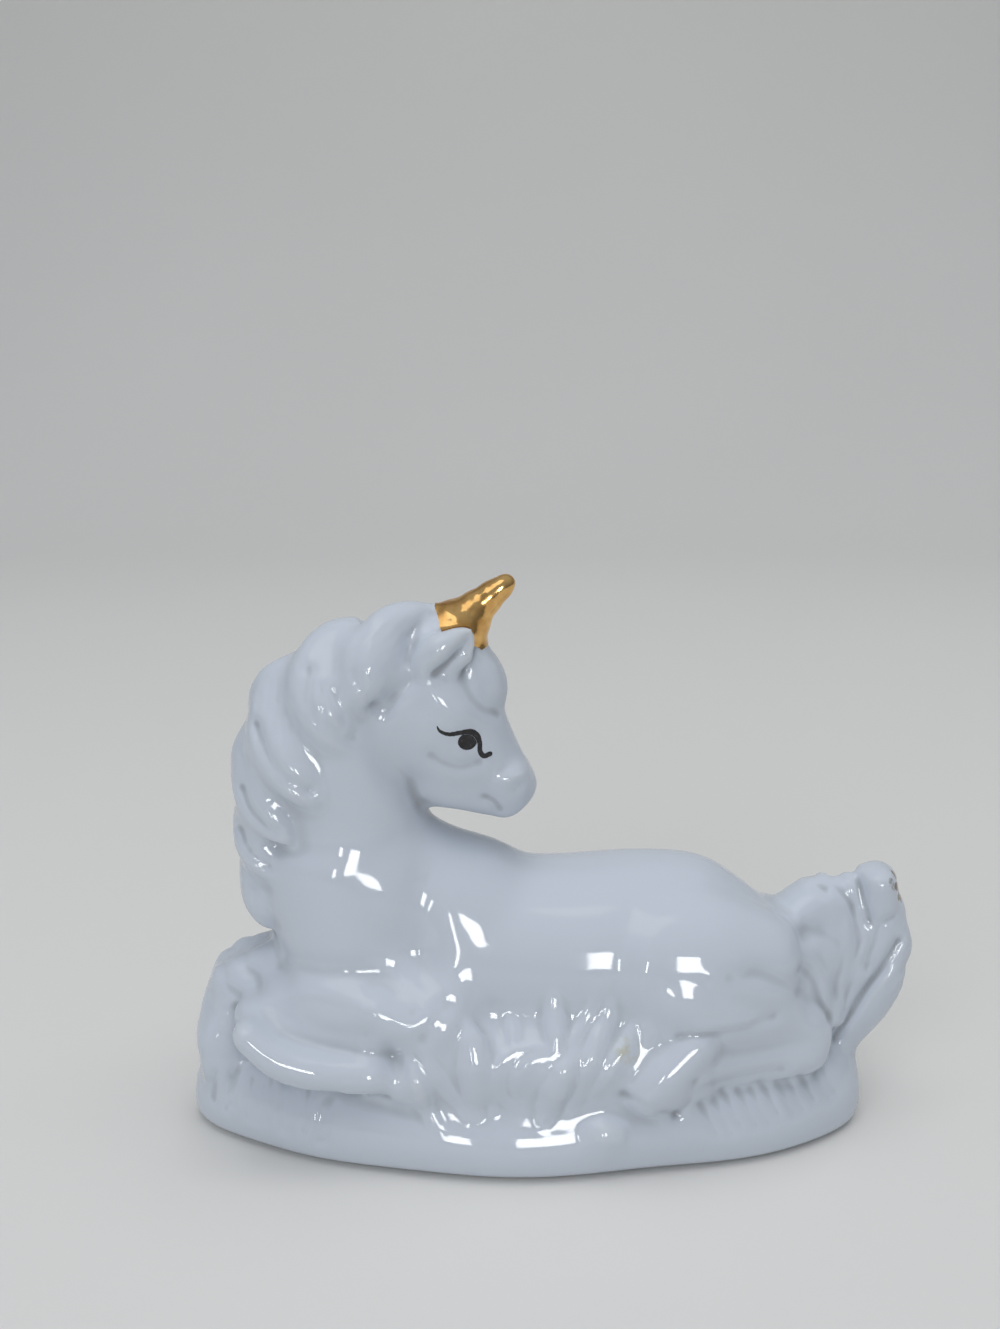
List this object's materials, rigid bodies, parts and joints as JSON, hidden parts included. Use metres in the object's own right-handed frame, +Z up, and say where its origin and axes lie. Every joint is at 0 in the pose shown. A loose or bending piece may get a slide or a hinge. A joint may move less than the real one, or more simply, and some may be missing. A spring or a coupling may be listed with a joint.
{
  "type": "unicorn figurine",
  "caption": "Lying unicorn ornament in white glazed porcelain on an oval grassy base, with its head turned back, a gold horn and painted eyes.",
  "frame": {"origin": "centre of the oval foot, on the surface that the figurine stands on", "axes": "+X from the chest to the tail, +Y to the far side away from the turned face's viewer, +Z up"},
  "size_m": [0.1084, 0.0404, 0.0829],
  "materials": {
    "porcelain": "white gloss glaze, slightly cool",
    "gold_lustre": "mirror gold lustre fired over the glaze",
    "black_enamel": "glossy fired black enamel"
  },
  "bodies": {
    "root": {"base_mound": "porcelain", "neck": "porcelain", "torso": "porcelain", "head": "porcelain", "horn": "porcelain", "horn_gilding": "gold_lustre", "forelock": "porcelain", "pebble": "porcelain", "near_haunch": "porcelain", "far_haunch": "porcelain", "near_gaskin": "porcelain", "far_gaskin": "porcelain", "near_forearm": "porcelain", "far_forearm": "porcelain", "near_fore_cannon": "porcelain", "far_fore_cannon": "porcelain", "near_hind_cannon": "porcelain", "far_hind_cannon": "porcelain", "near_hind_hoof": "porcelain", "far_hind_hoof": "porcelain", "near_ear": "porcelain", "far_ear": "porcelain", "near_mane_lock_1": "porcelain", "near_mane_lock_2": "porcelain", "near_mane_lock_3": "porcelain", "near_mane_lock_4": "porcelain", "near_mane_lock_5": "porcelain", "near_mane_lock_6": "porcelain", "far_mane_lock_1": "porcelain", "far_mane_lock_2": "porcelain", "far_mane_lock_3": "porcelain", "far_mane_lock_4": "porcelain", "far_mane_lock_5": "porcelain", "far_mane_lock_6": "porcelain", "tail_lock_1": "porcelain", "tail_lock_2": "porcelain", "tail_lock_3": "porcelain", "tail_lock_4": "porcelain", "tail_lock_5": "porcelain", "tail_lock_6": "porcelain", "chest_leaf_1": "porcelain", "chest_leaf_2": "porcelain", "chest_leaf_3": "porcelain", "grass_blade_1": "porcelain", "grass_blade_2": "porcelain", "grass_blade_3": "porcelain", "grass_blade_4": "porcelain", "grass_blade_5": "porcelain", "grass_blade_6": "porcelain", "grass_blade_7": "porcelain", "grass_blade_8": "porcelain", "grass_blade_9": "porcelain", "near_pupil": "black_enamel", "far_pupil": "black_enamel", "near_lash_line": "black_enamel", "far_lash_line": "black_enamel"}
  },
  "joints": []
}
